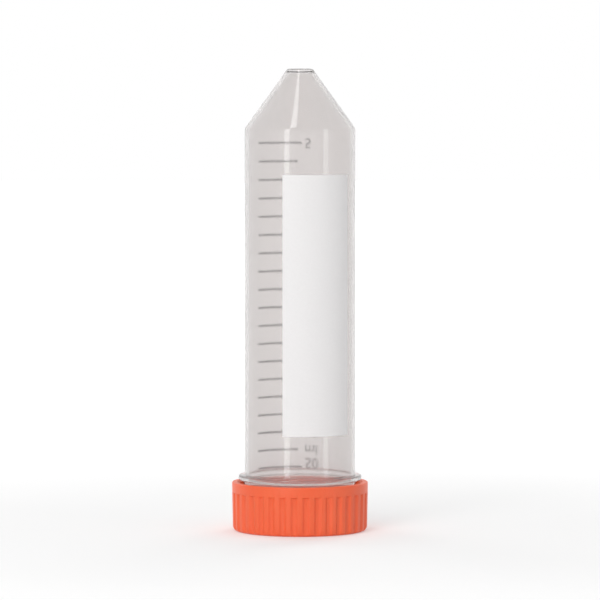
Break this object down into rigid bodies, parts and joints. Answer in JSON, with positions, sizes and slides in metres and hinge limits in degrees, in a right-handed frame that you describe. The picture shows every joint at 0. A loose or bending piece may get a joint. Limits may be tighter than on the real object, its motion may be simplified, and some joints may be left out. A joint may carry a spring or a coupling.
{
  "type": "50 ml conical tube",
  "caption": "Conical-bottom sample tube of translucent plastic with a ribbed screw cap, a printed volume scale and a white writing panel.",
  "frame": {"origin": "centre of the cap's flat top, on which the tube stands upside down", "axes": "+Z along the tube's axis from the cap to the tip of the cone; the writing panel faces -Y and the volume scale +Y"},
  "size_m": [0.0344, 0.0344, 0.117],
  "materials": {
    "moulded_cap": "orange-red moulded polyethylene, satin",
    "clear_polypropylene": "natural translucent polypropylene, moulded against a polished core",
    "white_ink": "opaque white screen-printed ink, matt for writing on",
    "black_ink": "thin dark screen-printed ink"
  },
  "bodies": {
    "cap": {"cap": "moulded_cap"},
    "tube": {"tube": "clear_polypropylene", "marking_panel": "white_ink", "graduation_marks": "black_ink"}
  },
  "joints": [
    {"name": "tube_lift", "type": "slide", "parent": "cap", "child": "tube", "axis": [0, 0, 1], "range_m": [0, 0.025]}
  ]
}
